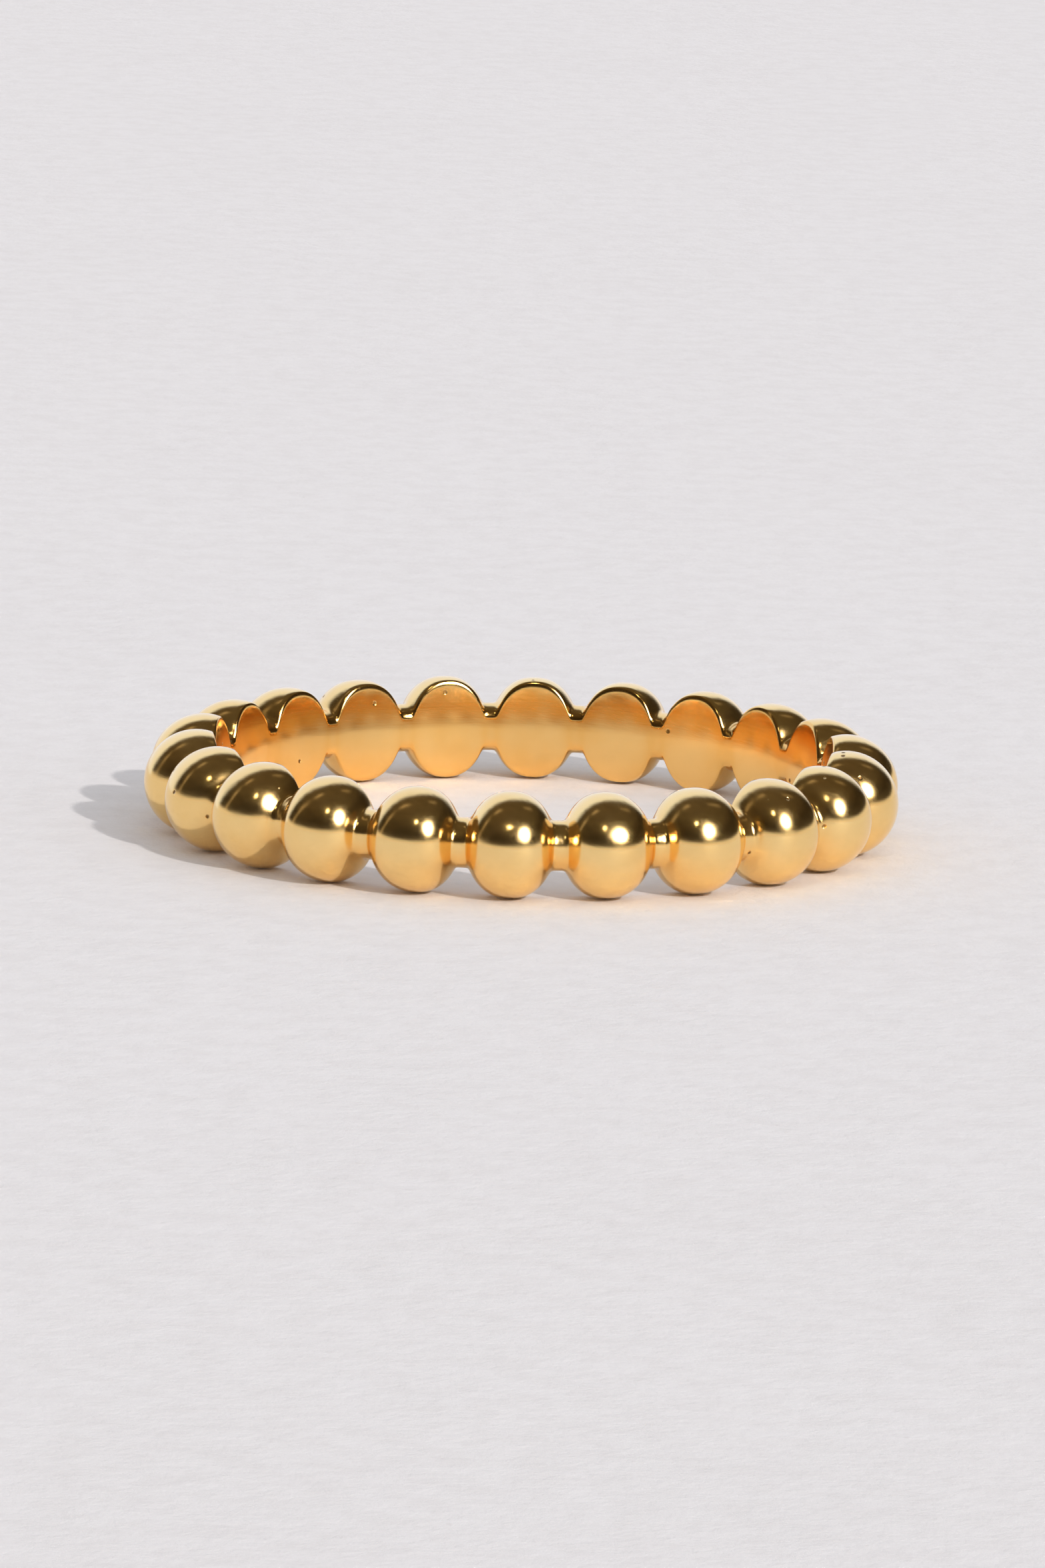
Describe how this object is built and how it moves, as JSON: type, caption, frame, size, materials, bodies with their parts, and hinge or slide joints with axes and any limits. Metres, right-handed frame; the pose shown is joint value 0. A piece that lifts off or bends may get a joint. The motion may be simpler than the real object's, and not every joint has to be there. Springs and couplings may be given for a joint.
{
  "type": "beaded finger ring",
  "caption": "Slim one-piece finger ring: a closed row of rounded beads on a thin neck, bored smooth inside so that each bead has a flat inner face. It lies on its side.",
  "frame": {"origin": "middle of the base of the ring as it lies on its side, on the axis of the finger hole", "axes": "+Z along the axis of the finger hole, up from the surface the ring lies on; -Y towards the bead at the front"},
  "size_m": [0.0212, 0.0214, 0.003],
  "materials": {
    "polished_gold": "polished, gold coloured"
  },
  "bodies": {
    "root": {"beaded_band": "polished_gold"}
  },
  "joints": []
}
